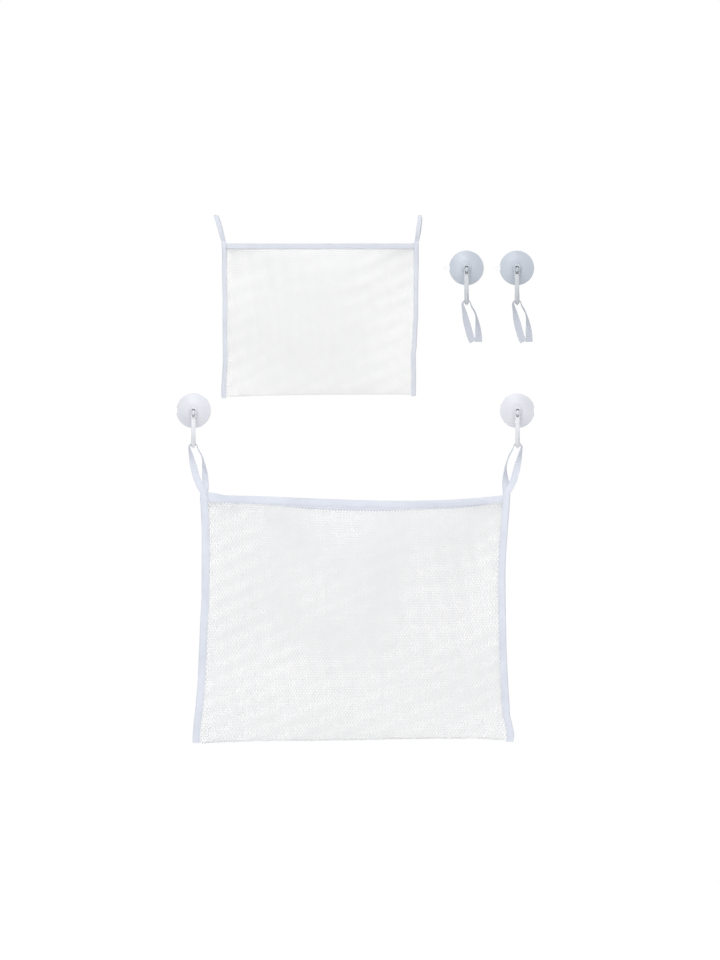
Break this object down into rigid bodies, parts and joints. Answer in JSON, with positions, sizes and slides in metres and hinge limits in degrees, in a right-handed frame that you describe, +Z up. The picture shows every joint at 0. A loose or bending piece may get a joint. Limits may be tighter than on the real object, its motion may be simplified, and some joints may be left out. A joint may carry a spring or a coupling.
{
  "type": "bath toy organizer",
  "caption": "Wall-hung net bags for bath toys, with tape-bound edges and tape loops that hang on hooks clipped to suction cups; spare bag and hooks beside the hung one.",
  "frame": {"origin": "on the wall, midway between the axes of the two suction cups that carry the large bag", "axes": "+X to the right of someone facing the wall, +Y into the wall, +Z up"},
  "size_m": [0.532, 0.0514, 0.7625],
  "materials": {
    "cup": "soft translucent PVC",
    "hook": "moulded white plastic",
    "tape": "woven polyester tape",
    "net": "knitted polyester net"
  },
  "bodies": {
    "cups": {"left_cup": "cup", "right_cup": "cup", "spare_cup_a": "cup", "spare_cup_b": "cup"},
    "left_hook": {"left_hook": "hook"},
    "right_hook": {"right_hook": "hook"},
    "left_loop": {"large_left_loop": "tape"},
    "right_loop": {"large_right_loop": "tape"},
    "large_bag": {"large_net": "net", "large_front_band": "tape", "large_back_band": "tape", "large_left_binding": "tape", "large_right_binding": "tape"},
    "small_bag": {"small_net": "net", "small_front_band": "tape", "small_back_band": "tape", "small_left_binding": "tape", "small_right_binding": "tape", "small_left_loop": "tape", "small_right_loop": "tape"},
    "spare_hook_a": {"spare_hook_a": "hook"},
    "spare_hook_b": {"spare_hook_b": "hook"},
    "spare_loop_a": {"spare_loop_a": "tape"},
    "spare_loop_b": {"spare_loop_b": "tape"}
  },
  "joints": [
    {"name": "left_hook_swivel", "type": "hinge", "parent": "cups", "child": "left_hook", "pos_m": [-0.2335, -0.013, 0], "axis": [0, 1, 0], "range_deg": [-15, 15]},
    {"name": "right_hook_swivel", "type": "hinge", "parent": "cups", "child": "right_hook", "pos_m": [0.2335, -0.013, 0], "axis": [0, 1, 0], "range_deg": [-15, 15]},
    {"name": "left_loop_turn", "type": "hinge", "parent": "left_hook", "child": "left_loop", "pos_m": [-0.2335, -0.0209, -0.05269], "axis": [0, 1, 0], "range_deg": [-15, 15]},
    {"name": "right_loop_turn", "type": "hinge", "parent": "right_hook", "child": "right_loop", "pos_m": [0.2335, -0.0209, -0.05269], "axis": [0, 1, 0], "range_deg": [-15, 15]},
    {"name": "large_bag_swing", "type": "hinge", "parent": "left_loop", "child": "large_bag", "pos_m": [0, -0.0209, -0.12175], "axis": [-1, 0, 0], "range_deg": [0, 45]},
    {"name": "small_bag_swing", "type": "hinge", "parent": "cups", "child": "small_bag", "pos_m": [-0.0505, -0.0209, 0.28125], "axis": [-1, 0, 0], "range_deg": [0, 45]},
    {"name": "spare_hook_a_swivel", "type": "hinge", "parent": "cups", "child": "spare_hook_a", "pos_m": [0.1601, -0.013, 0.206], "axis": [0, 1, 0], "range_deg": [-8, 25]},
    {"name": "spare_hook_b_swivel", "type": "hinge", "parent": "cups", "child": "spare_hook_b", "pos_m": [0.2328, -0.013, 0.206], "axis": [0, 1, 0], "range_deg": [-25, 8]},
    {"name": "spare_loop_a_swing", "type": "hinge", "parent": "spare_hook_a", "child": "spare_loop_a", "pos_m": [0.1601, -0.0209, 0.1623], "axis": [-1, 0, 0], "range_deg": [-8, 40]},
    {"name": "spare_loop_b_swing", "type": "hinge", "parent": "spare_hook_b", "child": "spare_loop_b", "pos_m": [0.2328, -0.0209, 0.1623], "axis": [-1, 0, 0], "range_deg": [-8, 40]}
  ],
  "couplings": [
    {"joint": "right_hook_swivel", "follows": "left_hook_swivel", "ratio": 1},
    {"joint": "left_loop_turn", "follows": "left_hook_swivel", "ratio": -1},
    {"joint": "right_loop_turn", "follows": "left_hook_swivel", "ratio": -1}
  ]
}
